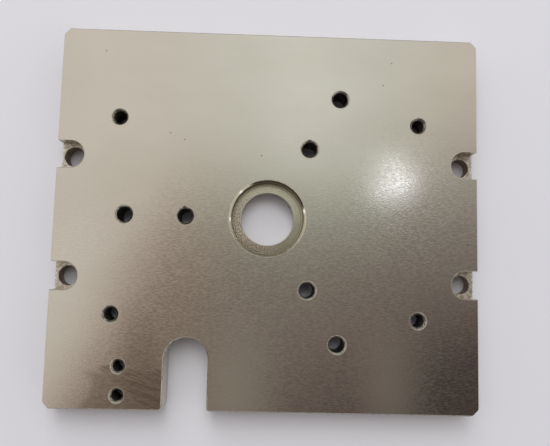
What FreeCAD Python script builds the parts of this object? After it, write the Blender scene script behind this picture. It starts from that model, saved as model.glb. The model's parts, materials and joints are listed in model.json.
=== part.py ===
import FreeCAD
import Part
import math
import os
from FreeCAD import Vector

# Fixture plate: one ground steel plate that a tool or a workpiece is set up on.
# X runs along the length, Y across the width and Z up through the thickness. The origin is on
# the axis of the centre bore, in the underside. All sizes are in millimetres and degrees.

# the block
plate_length = 168.0
plate_width = 150.0
plate_thickness = 12.0
corner_chamfer = 2.4
edge_break = 0.4

# centre bore, with a recess that seats a flanged bush
bore_diameter = 21.5
recess_diameter = 29.0
recess_depth = 5.0
recess_lead_in = 0.8

# reamed dowel holes, on two circles round the centre bore
dowel_diameter = 6.0
dowel_mouth_diameter = 7.2
dowel_circle_radii = (32.5, 56.5)
dowel_angles = (60.0, 180.0, 300.0)

# tapped holes at the corners of a rectangle, drilled to the thread's root
corner_tap_diameter = 5.1
corner_tap_mouth_diameter = 6.7
corner_tap_spacing_x = 120.0
corner_tap_spacing_y = 78.0

# two smaller tapped holes in a line, beside the slot
stop_tap_diameter = 4.3
stop_tap_mouth_diameter = 5.7
stop_tap_pitch = 11.0
stop_tap_from_left = 28.0
stop_tap_from_front = 5.3

# screw seats let into the left and right sides: a counterbore that is open at the side
seat_width = 11.0
seat_depth = 6.0
seat_inset = 5.2
seat_pitch = 48.0
seat_offset_y = -0.6
left_screw_hole_diameter = 8.0
right_screw_hole_diameter = 7.5

# slot in from the front side, with a round end
slot_width = 17.0
slot_length = 27.7
slot_from_left = 53.9
slot_left_lip_radius = 1.3
slot_right_lip_radius = 0.9

# how far a cutting tool runs past the face that it leaves by
overrun = 1.0
# how close two positions lie to count as the same
nearly = 0.001

left_side = -plate_length / 2
right_side = plate_length / 2
front_side = -plate_width / 2
back_side = plate_width / 2


def plate_outline():
    """The outline of the plate without its slot: a rectangle with its four corners cut off."""
    along, across = right_side, back_side
    near_corner = [
        Vector(along, across - corner_chamfer, 0),
        Vector(along - corner_chamfer, across, 0),
    ]
    mirrored = [Vector(-point.x, point.y, 0) for point in reversed(near_corner)]
    back_half = near_corner + mirrored
    front_half = [Vector(-point.x, -point.y, 0) for point in back_half]
    corners = back_half + front_half
    return Part.makePolygon(corners + corners[:1])


def slot_outline():
    """The slot's two walls and its round end, closed off in front of the plate."""
    radius = slot_width / 2
    centre_x = left_side + slot_from_left
    arc_y = front_side + slot_length - radius
    mouth_y = front_side - overrun
    left_x, right_x = centre_x - radius, centre_x + radius
    left_top, right_top = Vector(left_x, arc_y, 0), Vector(right_x, arc_y, 0)
    left_mouth, right_mouth = Vector(left_x, mouth_y, 0), Vector(right_x, mouth_y, 0)
    round_end = Part.Arc(left_top, Vector(centre_x, arc_y + radius, 0), right_top)
    return Part.Wire([
        round_end.toShape(),
        Part.makeLine(right_top, right_mouth),
        Part.makeLine(right_mouth, left_mouth),
        Part.makeLine(left_mouth, left_top),
    ])


def extruded(outline, bottom, top):
    """A closed outline as a solid between two heights."""
    face = Part.Face(outline)
    face.translate(Vector(0, 0, bottom))
    return face.extrude(Vector(0, 0, top - bottom))


def upright_edge(solid, x, y):
    """The solid's edge that stands upright at one place in plan."""
    for edge in solid.Edges:
        box = edge.BoundBox
        upright = box.XLength < nearly and box.YLength < nearly
        if upright and abs(box.Center.x - x) < nearly and abs(box.Center.y - y) < nearly:
            return edge
    raise ValueError("no upright edge at %.3f, %.3f" % (x, y))


def with_round_lips(block):
    """The block with the two corners of the slot's mouth rounded."""
    lips = (
        (left_side + slot_from_left - slot_width / 2, slot_left_lip_radius),
        (left_side + slot_from_left + slot_width / 2, slot_right_lip_radius),
    )
    for lip_x, lip_radius in lips:
        block = block.makeFillet(lip_radius, [upright_edge(block, lip_x, front_side)])
    return block


def with_broken_edges(block):
    """The block with its sharp edges taken off all round, above and below."""
    level = [edge for edge in block.Edges if edge.BoundBox.ZLength < nearly]
    return block.makeChamfer(edge_break, level)


def turned(points):
    """A tool turned about Z from the half section through these (radius, height) points."""
    section = Part.makePolygon([Vector(r, 0, z) for r, z in points + points[:1]])
    return Part.Face(section).revolve(Vector(0, 0, 0), Vector(0, 0, 1), 360).Solids[0]


def hole_tool(diameter, mouth_diameter):
    """A drill through the plate with a 90 degree countersink at each face."""
    radius, mouth = diameter / 2, mouth_diameter / 2
    sink = mouth - radius
    low, high = -overrun, plate_thickness + overrun
    return turned([
        (0, low), (mouth + overrun, low), (radius, sink),
        (radius, plate_thickness - sink), (mouth + overrun, high), (0, high),
    ])


def centre_bore_tool():
    """The centre bore, its recess, and the lead-in round the recess's mouth."""
    bore, recess = bore_diameter / 2, recess_diameter / 2
    ledge = plate_thickness - recess_depth
    low, high = -overrun, plate_thickness + overrun
    return turned([
        (0, low), (bore + edge_break + overrun, low), (bore, edge_break), (bore, ledge),
        (recess, ledge), (recess, plate_thickness - recess_lead_in),
        (recess + recess_lead_in + overrun, high), (0, high),
    ])


def screw_seat_tool(side, hole_diameter):
    """One screw seat at the origin: the open counterbore and the screw hole in its ledge."""
    radius = seat_width / 2
    ledge = plate_thickness - seat_depth
    out_x = side * (seat_inset + overrun)
    high = plate_thickness + overrun
    counterbore = Part.makeCylinder(radius, high - ledge, Vector(0, 0, ledge))
    run_out = Part.makeBox(abs(out_x), seat_width, high - ledge, Vector(min(0, out_x), -radius, ledge))
    screw_hole = hole_tool(hole_diameter, hole_diameter + 2 * edge_break)
    through_ledge = Part.makeBox(seat_width, seat_width, ledge + 2 * overrun,
                                 Vector(-radius, -radius, -overrun))
    return counterbore.fuse([run_out, screw_hole.common(through_ledge)]).removeSplitter()


def placed(tool, places):
    """A copy of the tool at each (x, y) place."""
    copies = []
    for x, y in places:
        copy = tool.copy()
        copy.translate(Vector(x, y, 0))
        copies.append(copy)
    return copies


def dowel_places():
    places = []
    for radius in dowel_circle_radii:
        for angle in dowel_angles:
            turn = math.radians(angle)
            places.append((radius * math.cos(turn), radius * math.sin(turn)))
    return places


def corner_tap_places():
    x, y = corner_tap_spacing_x / 2, corner_tap_spacing_y / 2
    return [(-x, -y), (x, -y), (-x, y), (x, y)]


def stop_tap_places():
    x = left_side + stop_tap_from_left
    first_y = front_side + stop_tap_from_front
    return [(x, first_y), (x, first_y + stop_tap_pitch)]


def screw_seat_places(side):
    x = side * (right_side - seat_inset)
    return [(x, seat_offset_y + seat_pitch * half) for half in (-0.5, 0.5)]


def fixture_plate():
    block = extruded(plate_outline(), 0, plate_thickness)
    block = block.cut(extruded(slot_outline(), -overrun, plate_thickness + overrun))
    block = with_broken_edges(with_round_lips(block))
    tools = [centre_bore_tool()]
    tools += placed(hole_tool(dowel_diameter, dowel_mouth_diameter), dowel_places())
    tools += placed(hole_tool(corner_tap_diameter, corner_tap_mouth_diameter), corner_tap_places())
    tools += placed(hole_tool(stop_tap_diameter, stop_tap_mouth_diameter), stop_tap_places())
    tools += placed(screw_seat_tool(-1, left_screw_hole_diameter), screw_seat_places(-1))
    tools += placed(screw_seat_tool(1, right_screw_hole_diameter), screw_seat_places(1))
    return block.cut(tools)


plate = fixture_plate().Solids[0]
print("fixture_plate: valid %s, %.1f cubic cm" % (plate.isValid(), plate.Volume / 1000))
os.makedirs("parts", exist_ok=True)
plate.exportStep("parts/fixture_plate.step")
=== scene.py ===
import json
import math

import bmesh
import bpy
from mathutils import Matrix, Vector

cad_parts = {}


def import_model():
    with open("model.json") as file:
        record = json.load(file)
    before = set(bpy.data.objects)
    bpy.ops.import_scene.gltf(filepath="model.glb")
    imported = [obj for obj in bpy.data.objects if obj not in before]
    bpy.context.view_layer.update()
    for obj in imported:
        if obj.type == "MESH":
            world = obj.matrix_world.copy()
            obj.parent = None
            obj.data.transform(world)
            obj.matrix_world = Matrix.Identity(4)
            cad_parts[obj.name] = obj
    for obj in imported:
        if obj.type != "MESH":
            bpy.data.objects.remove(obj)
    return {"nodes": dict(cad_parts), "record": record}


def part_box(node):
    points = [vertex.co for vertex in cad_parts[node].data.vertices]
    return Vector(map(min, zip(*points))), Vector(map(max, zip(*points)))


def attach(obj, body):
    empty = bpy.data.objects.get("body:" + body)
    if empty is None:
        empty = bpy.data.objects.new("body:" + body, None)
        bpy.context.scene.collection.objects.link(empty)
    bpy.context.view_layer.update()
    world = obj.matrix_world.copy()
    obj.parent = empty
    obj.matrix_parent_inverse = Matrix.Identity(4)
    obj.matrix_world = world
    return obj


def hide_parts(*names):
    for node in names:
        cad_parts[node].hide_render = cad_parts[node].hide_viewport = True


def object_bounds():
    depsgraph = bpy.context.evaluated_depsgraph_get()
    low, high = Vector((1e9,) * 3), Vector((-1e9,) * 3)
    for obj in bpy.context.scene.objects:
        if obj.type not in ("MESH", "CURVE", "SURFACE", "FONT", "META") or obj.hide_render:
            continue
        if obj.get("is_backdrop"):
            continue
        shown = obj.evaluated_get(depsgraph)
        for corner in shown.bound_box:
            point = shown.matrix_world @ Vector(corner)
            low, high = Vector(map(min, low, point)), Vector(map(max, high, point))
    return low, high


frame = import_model()
cad_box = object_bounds()

MM = 0.001
NODE = "fixture_plate"
low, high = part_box(NODE)
mounts = {mount["name"]: mount for mount in frame["record"]["mounts"]}


# ---------------------------------------------------------------- places, from the frame

def pattern_places(name):
    """The (x, y) centres of a rectangle or line of holes, from its mount."""
    mount = mounts[name]
    dims = mount["dims"]
    half_x = dims.get("spacing_x_mm", 0) / 2 * MM
    half_y = dims.get("spacing_y_mm", 0) / 2 * MM
    centre_x, centre_y, _ = mount["pos_m"]
    places = {(centre_x + sx * half_x, centre_y + sy * half_y) for sx in (-1, 1) for sy in (-1, 1)}
    return sorted(places)


def circle_places(name):
    """The (x, y) centres of a circle of holes, the first on the side away from +X."""
    dims = mounts[name]["dims"]
    radius = dims["pcd_mm"] / 2 * MM
    turns = [math.pi + 2 * math.pi * i / dims["count"] for i in range(dims["count"])]
    return [(radius * math.cos(turn), radius * math.sin(turn)) for turn in turns]


def hole_radius(name):
    return mounts[name]["dims"]["hole_r_mm"] * MM


bore_radius = mounts["centre_bore"]["dims"]["r_mm"] * MM
recess_radius = mounts["centre_recess"]["dims"]["r_mm"] * MM
seat_z = mounts["left_screw_holes"]["pos_m"][2]
seat_places = pattern_places("left_screw_holes") + pattern_places("right_screw_holes")

# what the frame's mounts don't give
RECESS_LEAD_IN = 0.8 * MM
CORNER_CHAMFER = 2.4 * MM
SEAT_HALF_WIDTH = 5.5 * MM
DOWEL_MOUTH_RADIUS = 3.6 * MM
TAP_MOUTH_RADII = (("corner_taps", 3.35 * MM), ("stop_taps", 2.85 * MM))

# name of the mount, the thread's outside radius and its pitch
THREADS = (
    ("corner_taps", 3.0 * MM, 1.0 * MM),
    ("stop_taps", 2.5 * MM, 0.8 * MM),
)


# ---------------------------------------------------------------- shader helpers

def new_material(name):
    material = bpy.data.materials.new(name)
    material.use_nodes = True
    return material, material.node_tree


def add(tree, kind, links=(), **values):
    """A node with its sockets set by name, and links given as (socket name, output socket)."""
    node = tree.nodes.new(kind)
    for name, value in values.items():
        if hasattr(node, name):
            setattr(node, name, value)
        else:
            node.inputs[name.replace("_", " ")].default_value = value
    for name, output in links:
        tree.links.new(output, node.inputs[name])
    return node


def fill(tree, socket, value):
    """Sets a socket to a number, or links an output to it."""
    if isinstance(value, (int, float)):
        socket.default_value = value
    else:
        tree.links.new(value, socket)


def math_node(tree, operation, *values):
    node = tree.nodes.new("ShaderNodeMath")
    node.operation = operation
    for socket, value in zip(node.inputs, values):
        fill(tree, socket, value)
    return node.outputs[0]


def chained(tree, operation, first, *others):
    for other in others:
        first = math_node(tree, operation, first, other)
    return first


def product(tree, *factors):
    return chained(tree, "MULTIPLY", *factors)


def least(tree, *values):
    return chained(tree, "MINIMUM", *values)


def greatest(tree, *values):
    return chained(tree, "MAXIMUM", *values)


def scaled_sum(tree, value, factor, rest):
    """value times factor, plus rest."""
    return math_node(tree, "MULTIPLY_ADD", value, factor, rest)


def difference(tree, value, less):
    return math_node(tree, "SUBTRACT", value, less)


def size_of(tree, value):
    return math_node(tree, "ABSOLUTE", value)


def ramp(tree, value, start, end, low_value=0.0, high_value=1.0, smooth=True):
    """Maps value from start..end to low_value..high_value, with soft ends."""
    node = tree.nodes.new("ShaderNodeMapRange")
    node.interpolation_type = "SMOOTHSTEP" if smooth else "LINEAR"
    tree.links.new(value, node.inputs["Value"])
    node.inputs["From Min"].default_value = start
    node.inputs["From Max"].default_value = end
    node.inputs["To Min"].default_value = low_value
    node.inputs["To Max"].default_value = high_value
    return node.outputs["Result"]


def between(tree, value, low_end, high_end, soft):
    """1 between the two ends, falling softly to 0 outside them."""
    rise = ramp(tree, value, low_end - soft, low_end + soft)
    fall = ramp(tree, value, high_end - soft, high_end + soft, 1.0, 0.0)
    return product(tree, rise, fall)


def mixed(tree, factor, first, second):
    """A colour between first and second, where each is a colour or an output."""
    node = tree.nodes.new("ShaderNodeMix")
    node.data_type = "RGBA"
    tree.links.new(factor, node.inputs["Factor"])
    colours = [socket for socket in node.inputs if socket.type == "RGBA"]
    for socket, value in zip(colours, (first, second)):
        if isinstance(value, bpy.types.NodeSocket):
            tree.links.new(value, socket)
        else:
            socket.default_value = (*value, 1.0)
    return next(socket for socket in node.outputs if socket.type == "RGBA")


def length_of(tree, across, along):
    squares = [math_node(tree, "POWER", part, 2.0) for part in (across, along)]
    return math_node(tree, "SQRT", chained(tree, "ADD", *squares))


def offset_from(tree, x, y, centre):
    """Distance from an upright axis at centre, and the angle round it."""
    across = difference(tree, x, centre[0])
    along = difference(tree, y, centre[1])
    return length_of(tree, across, along), math_node(tree, "ARCTAN2", along, across)


def object_axes(tree):
    """The place on the piece in metres, as x, y and z outputs, and as one vector."""
    place = tree.nodes.new("ShaderNodeTexCoord").outputs["Object"]
    split = add(tree, "ShaderNodeSeparateXYZ", [("Vector", place)])
    return split.outputs["X"], split.outputs["Y"], split.outputs["Z"], place


def stretched_noise(tree, place, cell_mm, detail=2.0, seed=0.0):
    """Noise whose cells measure cell_mm along X, Y and Z."""
    mapping = tree.nodes.new("ShaderNodeMapping")
    mapping.inputs["Scale"].default_value = [1 / (size * MM) for size in cell_mm]
    mapping.inputs["Location"].default_value = (seed, seed * 1.7, seed * 0.6)
    tree.links.new(place, mapping.inputs["Vector"])
    noise = add(tree, "ShaderNodeTexNoise", [("Vector", mapping.outputs[0])], Scale=1.0, Detail=detail)
    return noise.outputs["Fac"]


def new_metal(name):
    material, tree = new_material(name)
    shader = tree.nodes["Principled BSDF"]
    shader.inputs["Metallic"].default_value = 1.0
    return material, tree, shader


def give_finish(tree, shader, colour, roughness):
    fill(tree, shader.inputs["Base Color"], colour)
    fill(tree, shader.inputs["Roughness"], roughness)


def give_bump(tree, shader, height, strength, depth):
    bump = add(tree, "ShaderNodeBump", [("Height", height)], Strength=strength, Distance=depth)
    tree.links.new(bump.outputs[0], shader.inputs["Normal"])


# ---------------------------------------------------------------- the ground faces

FAN_TIP = (-65.5 * MM, -58.2 * MM)
WIPED_DOWN = math.radians(20)
STREAK_LENGTH, STREAK_WIDTH = 16 * MM, 0.9 * MM
PALE_PATCH = (-73.6 * MM, -67.0 * MM)
PINHOLES_MM = (
    (-66.8, 66.0), (-33.9, 30.5), (-39.6, 33.1), (49.0, 64.7),
    (45.7, 55.4), (79.8, -8.5), (-3.1, 24.9),
)


def wiped_fan(tree, x, y, place):
    """Streaks that spread from FAN_TIP, as a cloth leaves them."""
    distance, angle = offset_from(tree, x, y, FAN_TIP)
    wavering = scaled_sum(tree, stretched_noise(tree, place, (9, 9, 40), seed=5.0), 0.25, angle)
    along_y = product(tree, y, math.cos(WIPED_DOWN))
    across = scaled_sum(tree, x, math.sin(WIPED_DOWN), along_y)
    streaks = add(tree, "ShaderNodeCombineXYZ", [
        ("X", product(tree, distance, 1 / STREAK_LENGTH)),
        ("Y", product(tree, across, 1 / STREAK_WIDTH)),
    ])
    wiped = add(tree, "ShaderNodeTexNoise", [("Vector", streaks.outputs[0])], Scale=1.0, Detail=2.0)
    return product(
        tree,
        between(tree, wavering, math.radians(-30), math.radians(3), 0.07),
        ramp(tree, distance, 1 * MM, 5 * MM),
        ramp(tree, x, -36 * MM, -40 * MM),
        ramp(tree, wiped.outputs["Fac"], 0.34, 0.64, 0.46, 0.80),
    )


def curved_stain(tree, x, y, place):
    """A stain whose left edge curves round a clean patch."""
    uneven = stretched_noise(tree, place, (6, 6, 40), seed=2.0)
    reach, _ = offset_from(tree, x, y, PALE_PATCH)
    reach = scaled_sum(tree, uneven, 1.6 * MM, reach)
    return product(
        tree,
        ramp(tree, reach, 7.0 * MM, 10.4 * MM),
        ramp(tree, reach, 11 * MM, 24 * MM, 0.50, 0.32),
        between(tree, x, -71.2 * MM, -43 * MM, 1.5 * MM),
        ramp(tree, y, -59.5 * MM, -62.5 * MM),
        ramp(tree, uneven, 0.3, 0.6, 0.7, 1.0),
    )


def smudges(tree, x, y, place):
    """Old oil at the near left corner: a fan of wiped streaks, a stain, and a dull haze."""
    haze = product(
        tree,
        between(tree, x, -55 * MM, -42 * MM, 5 * MM),
        ramp(tree, y, -24 * MM, -60 * MM, 0.0, 0.42),
    )
    return greatest(tree, wiped_fan(tree, x, y, place), curved_stain(tree, x, y, place), haze)


def pinholes(tree, x, y):
    """The few dark specks that can be seen."""
    spots = []
    for place in PINHOLES_MM:
        distance, _ = offset_from(tree, x, y, [value * MM for value in place])
        spots.append(ramp(tree, distance, 0.12 * MM, 0.40 * MM, 0.75, 0.0))
    return greatest(tree, *spots)


def folded(tree, value, centre, half):
    """Signed distance from the nearer of two lines, at centre - half and centre + half."""
    return difference(tree, size_of(tree, difference(tree, value, centre)), half)


def rim_gap(tree, across, along, radius):
    return difference(tree, length_of(tree, across, along), radius)


def tap_gaps(tree, x, y):
    """Distance from the mouths of each pattern of tapped holes, folded onto one of them."""
    for name, radius in TAP_MOUTH_RADII:
        dims, centre = mounts[name]["dims"], mounts[name]["pos_m"]
        across = folded(tree, x, centre[0], dims.get("spacing_x_mm", 0) / 2 * MM)
        along = folded(tree, y, centre[1], dims.get("spacing_y_mm", 0) / 2 * MM)
        yield rim_gap(tree, across, along, radius)


def dowel_gap(tree, distance, angle):
    """Distance from the dowel holes' mouths, with the three spokes folded onto one."""
    spokes = mounts["inner_dowel_holes"]["dims"]["count"]
    turn = math_node(tree, "WRAP", angle, 2 * math.pi / spokes, 0.0)
    turn = difference(tree, turn, math.pi / spokes)
    outwards = product(tree, distance, math_node(tree, "COSINE", turn))
    sideways = product(tree, distance, math_node(tree, "SINE", turn))
    inner = mounts["inner_dowel_holes"]["dims"]["pcd_mm"] / 2 * MM
    outer = mounts["outer_dowel_holes"]["dims"]["pcd_mm"] / 2 * MM
    outwards = folded(tree, outwards, (inner + outer) / 2, (outer - inner) / 2)
    return rim_gap(tree, outwards, sideways, DOWEL_MOUTH_RADIUS)


def seat_gap(tree, x, y):
    """Distance from the seats, each a round end that runs out straight to the side."""
    upper, lower = seat_places[-1], seat_places[-2]
    across = least(tree, folded(tree, x, 0.0, upper[0]), 0.0)
    along = folded(tree, y, (upper[1] + lower[1]) / 2, (upper[1] - lower[1]) / 2)
    return rim_gap(tree, across, along, SEAT_HALF_WIDTH)


def mouth_gap(tree, x, y):
    """Distance on a ground face from the mouth of the nearest hole or seat."""
    distance, angle = offset_from(tree, x, y, (0.0, 0.0))
    recess_gap = difference(tree, distance, recess_radius + RECESS_LEAD_IN)
    return least(tree, *tap_gaps(tree, x, y), dowel_gap(tree, distance, angle), recess_gap,
                 seat_gap(tree, x, y))


GROUND_STEEL = (0.60, 0.565, 0.465), (0.63, 0.595, 0.495)
GRAIN = (0.30, 0.275, 0.235)
OLD_OIL = (0.265, 0.205, 0.145)
PINHOLE = (0.10, 0.09, 0.08)


def ground_material():
    """The ground faces: fine straight grain along X, painted stronger where the mirrored room is dark,
    faint patches, old oil, and duller hole rims.
    """
    material, tree, shader = new_metal("ground_steel_face")
    x, y, _, place = object_axes(tree)
    dashes = stretched_noise(tree, place, (1.45, 0.38, 40.0), detail=1.0)
    grit = stretched_noise(tree, place, (0.75, 0.32, 40.0), detail=0.0, seed=7.0)
    patches = stretched_noise(tree, place, (38.0, 24.0, 60.0), detail=3.0, seed=3.0)
    dirt = smudges(tree, x, y, place)

    # The grain is real; how strongly it shows is painted reflection: stronger towards the near side,
    # weaker at the far left.
    across_plate = ramp(tree, y, 26 * MM, -12 * MM, 0.16, 1.0)
    reflection_grain_strength = product(tree, across_plate, ramp(tree, x, -75 * MM, -35 * MM, 0.55, 1.0))
    grain = product(tree, reflection_grain_strength, ramp(tree, dashes, 0.34, 0.62, 0.30, 0.0, False))
    colour = mixed(tree, ramp(tree, patches, 0.3, 0.7), *GROUND_STEEL)
    colour = mixed(tree, grain, colour, GRAIN)
    colour = mixed(tree, dirt, colour, OLD_OIL)
    colour = mixed(tree, pinholes(tree, x, y), colour, PINHOLE)

    rough = ramp(tree, dashes, 0.30, 0.70, 0.075, 0.19, False)
    rough = scaled_sum(tree, dirt, 0.08, rough)
    rim = ramp(tree, mouth_gap(tree, x, y), 0.12 * MM, 0.42 * MM, 0.36, 0.0)
    give_finish(tree, shader, colour, chained(tree, "ADD", rough, rim))
    give_bump(tree, shader, scaled_sum(tree, dashes, 0.12, product(tree, grit, 0.8)), 1.0, 0.008 * MM)
    return material


# ---------------------------------------------------------------- the other finishes

MILLED_STEEL = (0.52, 0.48, 0.41), (0.64, 0.60, 0.525)
MILLED_STAIN = (0.36, 0.31, 0.25)


def cut_material():
    """The milled outer walls and the slot: fine upright marks."""
    material, tree, shader = new_metal("milled_wall")
    *_, place = object_axes(tree)
    marks = stretched_noise(tree, place, (0.45, 0.45, 9.0))
    cloud = stretched_noise(tree, place, (14.0, 14.0, 5.0), seed=4.0)
    colour = mixed(tree, marks, *MILLED_STEEL)
    colour = mixed(tree, ramp(tree, cloud, 0.45, 0.8, 0.0, 0.35), colour, MILLED_STAIN)
    give_finish(tree, shader, colour, ramp(tree, marks, 0.3, 0.7, 0.26, 0.38))
    give_bump(tree, shader, marks, 0.5, 0.02 * MM)
    return material


def from_middle(tree, z):
    """Distance from the plane half way through the plate."""
    return size_of(tree, difference(tree, z, (low.z + high.z) / 2))


DULL_BEVEL = (0.17, 0.15, 0.115), (0.38, 0.345, 0.28)
SIDE_BEVEL = (0.66, 0.61, 0.52)
CORNER_GLINT = (0.98, 0.97, 0.95)
WORN_EDGE_AND_SHEEN = (0.62, 0.58, 0.50)
LEAD_IN = (0.50, 0.445, 0.315)
LEAD_IN_DARK_REFLECTION = (0.050, 0.042, 0.026)
LEAD_IN_GLINT = (0.95, 0.91, 0.80)
GLINT_DEGREES = (-177, 12, 137)
GLINT_HALF_DEGREES = 3


def lead_in_colour(tree, colour, at_recess, angle):
    """The recess's lead-in: yellowed, with a painted dark reflection at the far side and three painted
    glints.
    """
    colour = mixed(tree, at_recess, colour, LEAD_IN)
    # Painted dark reflection on the lead-in's far side.
    far_side = between(tree, angle, math.radians(17), math.radians(117), 0.10)
    colour = mixed(tree, product(tree, at_recess, far_side), colour, LEAD_IN_DARK_REFLECTION)
    # Three painted glints on the lead-in.
    for degrees in GLINT_DEGREES:
        start, end = degrees - GLINT_HALF_DEGREES, degrees + GLINT_HALF_DEGREES
        glint = between(tree, angle, math.radians(start), math.radians(end), 0.03)
        colour = mixed(tree, product(tree, at_recess, glint), colour, LEAD_IN_GLINT)
    return colour


def bevel_material():
    """Bevels and hole mouths: a thin light line along the edge, partly wear and partly painted highlight,
    dull and dark below it, with a painted glint at the near right corner.
    """
    material, tree, shader = new_metal("bevel")
    x, y, z, place = object_axes(tree)
    chatter = stretched_noise(tree, place, (1.1, 1.1, 1.1), detail=3.0)
    half = (high.z - low.z) / 2
    uneven = scaled_sum(tree, chatter, 0.20 * MM, from_middle(tree, z))
    # A thin light line along the edge: partly wear, partly a painted highlight.
    wear_and_sheen = ramp(tree, uneven, half - 0.08 * MM, half + 0.07 * MM)

    colour = mixed(tree, ramp(tree, chatter, 0.35, 0.65), *DULL_BEVEL)
    at_side = ramp(tree, size_of(tree, x), high.x - 0.9 * MM, high.x - 0.6 * MM)
    colour = mixed(tree, at_side, colour, SIDE_BEVEL)
    # A painted glint on the bevel at the near right corner.
    corner = high.x + high.y - CORNER_CHAMFER - 1.0 * MM
    near_right_corner = ramp(tree, difference(tree, x, y), corner, corner + 0.3 * MM)
    colour = mixed(tree, near_right_corner, colour, CORNER_GLINT)
    distance, angle = offset_from(tree, x, y, (0.0, 0.0))
    at_recess = ramp(tree, distance, recess_radius + 2.0 * MM, recess_radius + 1.5 * MM)
    colour = lead_in_colour(tree, colour, at_recess, angle)
    colour = mixed(tree, wear_and_sheen, colour, WORN_EDGE_AND_SHEEN)

    rough = scaled_sum(tree, at_recess, -0.14, scaled_sum(tree, wear_and_sheen, -0.12, 0.32))
    give_finish(tree, shader, colour, rough)
    give_bump(tree, shader, chatter, 0.4, 0.04 * MM)
    return material


DRILLED_STEEL = (0.10, 0.09, 0.07), (0.42, 0.385, 0.33)
HOLE_PAINTED_SHADE = (0.035, 0.032, 0.028)


def bore_material():
    """Drilled and tapped walls, with painted shade darkening them from a little way in from either mouth.
    """
    material, tree, shader = new_metal("shaded_bore")
    _, _, z, place = object_axes(tree)
    near_mouth = ramp(tree, from_middle(tree, z), 3.8 * MM, 5.6 * MM)
    mottle = ramp(tree, stretched_noise(tree, place, (0.9, 0.9, 0.5)), 0.35, 0.65)
    # Painted shade: the walls turn dark deeper into the holes.
    colour = mixed(tree, near_mouth, HOLE_PAINTED_SHADE, mixed(tree, mottle, *DRILLED_STEEL))
    give_finish(tree, shader, colour, 0.38)
    return material


TURNED_STEEL = (0.51, 0.505, 0.36), (0.70, 0.69, 0.51)
STAINED_STEEL = (0.23, 0.185, 0.13), (0.74, 0.66, 0.53)
NEAR_RIGHT_SHADE = (0.24, 0.22, 0.15)
NEAR_SHADE = (0.24, 0.20, 0.14)
DARK_LINE_AND_SHADE = (0.17, 0.15, 0.10)
BORE_LIP = (0.60, 0.58, 0.50)
RING_SPACING = 0.55 * MM


def turning_rings(tree, distance, place):
    waver = stretched_noise(tree, place, (6.0, 6.0, 6.0))
    phase = scaled_sum(tree, distance, 2 * math.pi / RING_SPACING, product(tree, waver, 9.0))
    return math_node(tree, "SINE", phase)


def turned_material():
    """The recess and the centre bore: turning rings, a little yellowed, stained at the near left."""
    material, tree, shader = new_metal("turned_recess")
    x, y, _, place = object_axes(tree)
    distance, angle = offset_from(tree, x, y, (0.0, 0.0))
    fine = stretched_noise(tree, place, (0.5, 0.5, 0.5))
    clean = mixed(tree, ramp(tree, fine, 0.3, 0.7), *TURNED_STEEL)
    stained = mixed(tree, ramp(tree, fine, 0.35, 0.62), *STAINED_STEEL)
    near_left = ramp(tree, chained(tree, "ADD", x, y), 8 * MM, -16 * MM)
    colour = mixed(tree, near_left, clean, stained)
    near_right = between(tree, angle, math.radians(-70), math.radians(0), 0.4)
    colour = mixed(tree, product(tree, near_right, 0.45), colour, NEAR_RIGHT_SHADE)
    colour = mixed(tree, ramp(tree, y, -7 * MM, -13 * MM, 0.0, 0.35), colour, NEAR_SHADE)

    # Painted shade at the foot of the recess wall, and a dark line about 1 mm in from the wall on the
    # ledge.
    shade_at_foot = product(tree, ramp(tree, distance, recess_radius - 0.25 * MM, recess_radius - 0.05 * MM), 0.8)
    line = between(tree, distance, recess_radius - 1.05 * MM, recess_radius - 0.85 * MM, 0.12 * MM)
    colour = mixed(tree, greatest(tree, shade_at_foot, product(tree, line, 0.5)), colour, DARK_LINE_AND_SHADE)
    lip = ramp(tree, distance, bore_radius + 0.30 * MM, bore_radius + 0.15 * MM, 0.0, 0.6)
    colour = mixed(tree, lip, colour, BORE_LIP)
    give_finish(tree, shader, colour, 0.34)
    height = scaled_sum(tree, turning_rings(tree, distance, place), 0.25, fine)
    give_bump(tree, shader, height, 0.7, 0.03 * MM)
    return material


SEAT_STEEL = (0.56, 0.50, 0.385), (0.84, 0.79, 0.68)
SEAT_STAIN = (0.22, 0.175, 0.115)
SCREW_HOLE = (0.26, 0.215, 0.14)
BURR = (0.90, 0.88, 0.82)


def seat_material():
    """The screw seats and their holes: end-milled, tan, stained brown where dirt has stayed."""
    material, tree, shader = new_metal("milled_seat")
    x, _, z, place = object_axes(tree)
    blotches = stretched_noise(tree, place, (1.2, 1.2, 1.2), detail=4.0)
    fine = stretched_noise(tree, place, (0.45, 0.45, 0.45), seed=9.0)
    below_face = ramp(tree, z, seat_z + 6.0 * MM, seat_z + 5.0 * MM)
    above_ledge = ramp(tree, z, seat_z + 0.25 * MM, seat_z + 0.6 * MM, 0.60, 0.95)
    stain = product(tree, ramp(tree, blotches, 0.40, 0.62), product(tree, below_face, above_ledge))
    in_hole = ramp(tree, z, seat_z - 0.1 * MM, seat_z - 0.8 * MM)
    outer = ramp(tree, size_of(tree, x), high.x - 1.3 * MM, high.x - 0.2 * MM)
    on_ledge = ramp(tree, z, seat_z + 0.5 * MM, seat_z + 0.2 * MM)
    burrs = product(tree, outer, ramp(tree, fine, 0.48, 0.56), on_ledge)

    colour = mixed(tree, ramp(tree, fine, 0.3, 0.7), *SEAT_STEEL)
    colour = mixed(tree, stain, colour, SEAT_STAIN)
    colour = mixed(tree, in_hole, colour, SCREW_HOLE)
    colour = mixed(tree, burrs, colour, BURR)
    give_finish(tree, shader, colour, ramp(tree, fine, 0.3, 0.7, 0.30, 0.48))
    give_bump(tree, shader, scaled_sum(tree, blotches, 0.8, fine), 0.9, 0.10 * MM)
    return material


# ---------------------------------------------------------------- the plate

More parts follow.
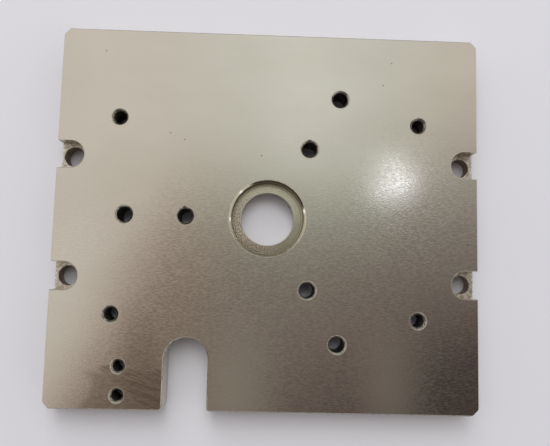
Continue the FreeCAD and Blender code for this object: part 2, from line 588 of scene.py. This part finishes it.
def welded(mesh_object):
    """A bmesh of the CAD node's mesh with its split vertices joined."""
    shape = bmesh.new()
    shape.from_mesh(mesh_object.data)
    bmesh.ops.remove_doubles(shape, verts=shape.verts, dist=1e-7)
    return shape


def mesh_piece(name, shape):
    mesh = bpy.data.meshes.new(name)
    shape.to_mesh(mesh)
    shape.free()
    piece = bpy.data.objects.new(name, mesh)
    bpy.context.scene.collection.objects.link(piece)
    return piece


STEPS_PER_TURN = 36
CREST_INSET = 0.15 * MM
FLANK_SLOPE = math.tan(math.radians(30))


def thread_cutter(x, y, drill_radius, thread_radius, pitch):
    """A closed helical ridge for the groove of one tapped hole, with 60 degrees between flanks."""
    root_half = pitch / 16
    inner = drill_radius - CREST_INSET
    inner_half = root_half + (thread_radius - inner) * FLANK_SLOPE
    section = (
        (inner, -inner_half), (thread_radius, -root_half),
        (thread_radius, root_half), (inner, inner_half),
    )
    start, end = low.z - pitch, high.z + pitch
    count = int((end - start) / pitch * STEPS_PER_TURN)
    shape = bmesh.new()
    rings = []
    for step in range(count + 1):
        turn = 2 * math.pi * step / STEPS_PER_TURN
        rise = start + pitch * step / STEPS_PER_TURN
        ring = [
            shape.verts.new((x + r * math.cos(turn), y + r * math.sin(turn), rise + dz))
            for r, dz in section
        ]
        rings.append(ring)
    for ring, following in zip(rings, rings[1:]):
        for i in range(4):
            j = (i + 1) % 4
            shape.faces.new((ring[i], ring[j], following[j], following[i]))
    shape.faces.new(rings[0][::-1])
    shape.faces.new(rings[-1])
    bmesh.ops.recalc_face_normals(shape, faces=shape.faces)
    return shape


def joined(shapes):
    """One bmesh from several that don't meet."""
    total = bmesh.new()
    for shape in shapes:
        mesh = bpy.data.meshes.new("part")
        shape.to_mesh(mesh)
        shape.free()
        total.from_mesh(mesh)
        bpy.data.meshes.remove(mesh)
    return total


def cut_threads(plate):
    cutters = []
    for name, thread_radius, pitch in THREADS:
        for x, y in pattern_places(name):
            cutters.append(thread_cutter(x, y, hole_radius(name), thread_radius, pitch))
    cutter = mesh_piece("thread_cutter", joined(cutters))
    modifier = plate.modifiers.new("threads", "BOOLEAN")
    modifier.operation = "DIFFERENCE"
    modifier.solver = "EXACT"
    modifier.object = cutter
    with bpy.context.temp_override(object=plate, active_object=plate):
        bpy.ops.object.modifier_apply(modifier="threads")
    bpy.data.objects.remove(cutter)


SMOOTH_BELOW = math.radians(28)


def shade(mesh):
    """Smooth shading over curved walls, and sharp at real edges."""
    shape = bmesh.new()
    shape.from_mesh(mesh)
    for face in shape.faces:
        face.smooth = True
    for edge in shape.edges:
        edge.smooth = len(edge.link_faces) == 2 and edge.calc_face_angle(0) < SMOOTH_BELOW
    shape.to_mesh(mesh)
    shape.free()


MOUTH_ROOM = 1.35 * MM


def small_holes():
    """The (x, y, reach) of every dowel and tapped hole, where reach takes in its mouth."""
    for name in ("inner_dowel_holes", "outer_dowel_holes"):
        for x, y in circle_places(name):
            yield x, y, hole_radius(name) + MOUTH_ROOM
    for name in ("corner_taps", "stop_taps"):
        for x, y in pattern_places(name):
            yield x, y, hole_radius(name) + MOUTH_ROOM


GROUND, CUT, BEVEL, BORE, TURNED, SEAT = range(6)
MATERIALS = (ground_material, cut_material, bevel_material, bore_material, turned_material, seat_material)
AT_FACE = 0.01 * MM
DEEPEST_BEVEL = 0.9 * MM


def in_a_seat(centre, corners, normal):
    if abs(normal.x) > 0.99 and abs(centre.x) > high.x - 0.1 * MM:
        return False
    reach = SEAT_HALF_WIDTH + 0.2 * MM
    for x, y in seat_places:
        inwards = -math.copysign(1.0, x)
        if all(abs(c.y - y) < reach and (c.x - x) * inwards < reach for c in corners):
            return True
    return False


def finish_of(normal, centre, corners, holes):
    """The finish of a face, from how that part of the plate was made."""
    depths = [min(high.z - c.z, c.z - low.z) for c in corners]
    if max(depths) < AT_FACE:
        return GROUND
    if 0.3 < abs(normal.z) < 0.95 and min(depths) < AT_FACE and max(depths) < DEEPEST_BEVEL:
        return BEVEL
    if math.hypot(centre.x, centre.y) < recess_radius + 1.2 * MM:
        return TURNED
    if any(all(math.hypot(c.x - x, c.y - y) < reach for c in corners) for x, y, reach in holes):
        return BORE
    return SEAT if in_a_seat(centre, corners, normal) else CUT


def paint_faces(mesh):
    holes = list(small_holes())
    for polygon in mesh.polygons:
        corners = [mesh.vertices[index].co for index in polygon.vertices]
        polygon.material_index = finish_of(polygon.normal, polygon.center, corners, holes)


def unevenness(turn):
    """From 0.25 to 1, different at every angle but the same each time."""
    return 0.25 + 0.75 * (math.sin(97 * turn) * 437.585 % 1.0)


def chip_rim(mesh, centre, radius, z, towards, half_spread, depth):
    """Breaks out a hole's rim, unevenly, over half_spread either side of the angle towards."""
    for vertex in mesh.vertices:
        across, along = vertex.co.x - centre[0], vertex.co.y - centre[1]
        distance = math.hypot(across, along)
        if abs(vertex.co.z - z) > AT_FACE or abs(distance - radius) > 0.05 * MM:
            continue
        turn = (math.atan2(along, across) - towards + math.pi) % (2 * math.pi) - math.pi
        if abs(turn) < half_spread:
            fading = math.cos(turn / half_spread * math.pi / 2) ** 0.5
            push = depth * unevenness(turn) * fading / distance
            vertex.co.x += across * push
            vertex.co.y += along * push


def wear_rims(mesh):
    """The ragged far left screw hole, the chip in the far right one, and two nicked dowel holes."""
    for name, towards, half_spread, depth in (
        ("left_screw_holes", 190, 80, 0.50 * MM),
        ("right_screw_holes", -70, 18, 0.85 * MM),
    ):
        chip_rim(mesh, pattern_places(name)[-1], hole_radius(name), seat_z,
                 math.radians(towards), math.radians(half_spread), depth)
    left, _, right = circle_places("inner_dowel_holes")
    for centre in (left, right):
        chip_rim(mesh, centre, DOWEL_MOUTH_RADIUS, high.z,
                 math.radians(95), math.radians(14), 0.40 * MM)


def build_plate():
    plate = mesh_piece("ground_plate", welded(frame["nodes"][NODE]))
    plate.data.materials.clear()
    for make in MATERIALS:
        plate.data.materials.append(make())
    bpy.context.view_layer.update()
    cut_threads(plate)
    wear_rims(plate.data)
    shade(plate.data)
    paint_faces(plate.data)
    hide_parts(NODE)
    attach(plate, "root")


build_plate()


# ---------------------------------------------------------------- floor, light and camera

CAMERA_PLACE = Vector((-1.8, -20.2, 218.7)) * MM
CAMERA_TURN = [math.radians(angle) for angle in (5.015, -1.453, 1.447)]
FOCAL_PER_FRAME_WIDTH = 525 / 550
FLOOR_SIZE = 14.0
FLOOR_GAP = 0.1 * MM


def floor():
    bpy.ops.mesh.primitive_plane_add(size=FLOOR_SIZE, location=(0, 0, low.z - FLOOR_GAP))
    plane = bpy.context.object
    plane.name = "floor"
    material, tree = new_material("pale_paper")
    shader = tree.nodes["Principled BSDF"]
    shader.inputs["Base Color"].default_value = (0.76, 0.76, 0.80, 1)
    shader.inputs["Roughness"].default_value = 0.7
    shader.inputs["Specular IOR Level"].default_value = 0.2
    plane.data.materials.append(material)
    plane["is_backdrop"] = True


# In the room's functions x, y and z are the parts of a direction of length 1, so y falls towards
# the near side and z rises to 1 overhead. Their numbers are fitted to what the plate reflects.

def swell(tree, value, centre, reach):
    """1 at centre, falling softly to 0 at reach from it."""
    return ramp(tree, size_of(tree, difference(tree, value, centre)), 0.0, reach, 1.0, 0.0)


def blend(tree, factor, first, second):
    """A number between first and second."""
    return scaled_sum(tree, difference(tree, second, first), factor, first)


def pale_ceiling(tree, x, y, right_part):
    far_left = product(tree, ramp(tree, x, -0.24, -0.36), ramp(tree, y, 0.3, 0.0))
    pale = scaled_sum(tree, right_part, -0.07, ramp(tree, y, 0.0, 0.4, 0.73, 0.85))
    pale = scaled_sum(tree, far_left, 0.10, pale)
    return scaled_sum(tree, swell(tree, x, 0.07, 0.16), 0.13, pale)


def dark_ceiling(tree, x, y):
    """The dark shape overhead, with two paler gaps in its near part."""
    beyond_middle = greatest(tree, difference(tree, x, 0.1), 0.0)
    fall = scaled_sum(tree, beyond_middle, 1.7, 0.54)
    dark = scaled_sum(tree, y, fall, scaled_sum(tree, x, -0.18, 0.289))
    gaps = chained(tree, "ADD", swell(tree, x, -0.045, 0.10), swell(tree, x, 0.235, 0.080))
    dark = scaled_sum(tree, product(tree, gaps, ramp(tree, y, -0.05, -0.24)), 0.17, dark)
    return greatest(tree, dark, 0.065)


def ceiling_brightness(tree, x, y):
    """What the upright reflections see: pale, with a dark shape overhead towards the near right."""
    left_of_shape = greatest(tree, difference(tree, -0.17, x), 0.0)
    right_part = ramp(tree, x, 0.16, 0.38)
    across = scaled_sum(tree, right_part, -0.12, scaled_sum(tree, left_of_shape, 2.2, y))
    edge = ramp(tree, across, -0.03, 0.30)
    return blend(tree, edge, dark_ceiling(tree, x, y), pale_ceiling(tree, x, y, right_part))


TOWARDS_PERSON = (-0.37, -0.93, 0.0)


def horizon_brightness(tree, x, y, z):
    """A bright band of windows under pale walls all round, but for whoever stands at the near side."""
    flat = add(tree, "ShaderNodeCombineXYZ", [("X", x), ("Y", y)])
    unit = add(tree, "ShaderNodeVectorMath", [("Vector", flat.outputs[0])], operation="NORMALIZE")
    person = add(tree, "ShaderNodeVectorMath", operation="DOT_PRODUCT")
    tree.links.new(unit.outputs[0], person.inputs[0])
    person.inputs[1].default_value = TOWARDS_PERSON
    shape = product(tree, ramp(tree, person.outputs["Value"], 0.35, 0.75), ramp(tree, z, 0.17, 0.30))
    around = scaled_sum(tree, shape, -0.88, 1.0)
    return product(tree, around, ramp(tree, z, 0.22, 0.52, 0.95, 0.70))


NO_TINT = (1.0, 1.0, 1.0)
LEFT_TINTS = (1.27, 1.0, 0.90), (1.03, 1.0, 1.02)
RIGHT_TINTS = (1.21, 1.0, 0.99), (0.95, 1.0, 0.95)
BRIGHT_RIGHT_TINT = (0.97, 1.0, 1.03)
FAR_RIGHT_TINT = (1.09, 1.0, 1.0)
DARK_FAR_RIGHT_TINT = (1.34, 1.0, 1.04)


def room_tint(tree, x, z, light):
    """The room's colour: warm where it is dark, greener in between at the right, plain at the horizon."""
    left = mixed(tree, ramp(tree, light, 0.15, 0.90), *LEFT_TINTS)
    right = mixed(tree, ramp(tree, light, 0.12, 0.50), *RIGHT_TINTS)
    right = mixed(tree, ramp(tree, light, 0.60, 0.90), right, BRIGHT_RIGHT_TINT)
    right = mixed(tree, ramp(tree, x, 0.20, 0.36, 0.0, 0.75), right, FAR_RIGHT_TINT)
    dark_far_right = product(tree, ramp(tree, x, 0.29, 0.38), ramp(tree, light, 0.22, 0.08))
    right = mixed(tree, dark_far_right, right, DARK_FAR_RIGHT_TINT)
    tint = mixed(tree, ramp(tree, x, -0.22, 0.02), left, right)
    return mixed(tree, ramp(tree, z, 0.35, 0.60), NO_TINT, tint)


def world():
    """A pale room, darker over the near side where whoever works at the plate would stand."""
    room = bpy.data.worlds.new("room")
    room.use_nodes = True
    bpy.context.scene.world = room
    tree = room.node_tree
    direction = tree.nodes.new("ShaderNodeTexCoord").outputs["Generated"]
    x, y, z = add(tree, "ShaderNodeSeparateXYZ", [("Vector", direction)]).outputs
    overhead = ramp(tree, z, 0.60, 0.86)
    light = blend(tree, overhead, horizon_brightness(tree, x, y, z), ceiling_brightness(tree, x, y))
    background = tree.nodes["Background"]
    tree.links.new(room_tint(tree, x, z, light), background.inputs["Color"])
    tree.links.new(light, background.inputs["Strength"])


def aim(thing, target):
    thing.rotation_euler = (Vector(target) - thing.location).to_track_quat("-Z", "Y").to_euler()


def lamp(name, place, target, size, power):
    data = bpy.data.lights.new(name, "AREA")
    data.shape = "DISK"
    data.size = size
    data.energy = power
    item = bpy.data.objects.new(name, data)
    bpy.context.scene.collection.objects.link(item)
    item.location = place
    aim(item, target)
    return item


PANEL_COLOUR = (0.93, 0.97, 1.22)


def panel(name, spot, reach, width, depth, radiance, turn=0.0):
    """A soft panel overhead that the top face mirrors to the camera at spot, given in X and Y.

    Its width and depth are those of the reflection on the plate.
    """
    spot = Vector((*spot, high.z))
    sight = spot - CAMERA_PLACE
    spread = 1 + reach / sight.length
    direction = Vector((sight.x, sight.y, -sight.z)).normalized()
    size, size_y = width * spread, depth * spread
    power = math.pi * radiance * math.pi / 4 * size * size_y
    item = lamp(name, spot + direction * reach, spot, size, power)
    item.data.shape = "ELLIPSE"
    item.data.size_y = size_y
    item.data.color = PANEL_COLOUR
    item.rotation_euler.rotate_axis("Z", turn)


SOFT_LAMP_POWER = 4.8


def lamps():
    """Two broad soft lamps that the metal doesn't mirror, and the ceiling's lights that it does."""
    for name, place, size in (
        ("window", (-0.2, 1.1, 0.9), 0.9),
        ("room_light", (0.05, 0.65, 1.25), 0.8),
    ):
        lamp(name, place, (0, 0, 0), size, SOFT_LAMP_POWER).visible_glossy = False
    panel("ceiling_lamp", (0.0498, 0.0138), 1.2, 0.0060, 0.0200, 1.15, math.radians(-18))
    panel("ceiling_panel", (0.0510, 0.0198), 1.25, 0.0145, 0.0070, 0.95)
    panel("ceiling_glow", (0.0490, 0.0165), 1.3, 0.023, 0.018, 0.25)


def camera():
    data = bpy.data.cameras.new("camera")
    data.sensor_width = 36.0
    data.lens = data.sensor_width * FOCAL_PER_FRAME_WIDTH
    data.clip_start = 0.01
    item = bpy.data.objects.new("camera", data)
    bpy.context.scene.collection.objects.link(item)
    item.location = CAMERA_PLACE
    item.rotation_euler = CAMERA_TURN
    bpy.context.scene.camera = item


floor()
world()
lamps()
camera()
bpy.context.scene.view_settings.view_transform = "Standard"

visual_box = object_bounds()
({name: [list(corner) for corner in box]
           for name, box in (("cad", cad_box), ("visual", visual_box))})
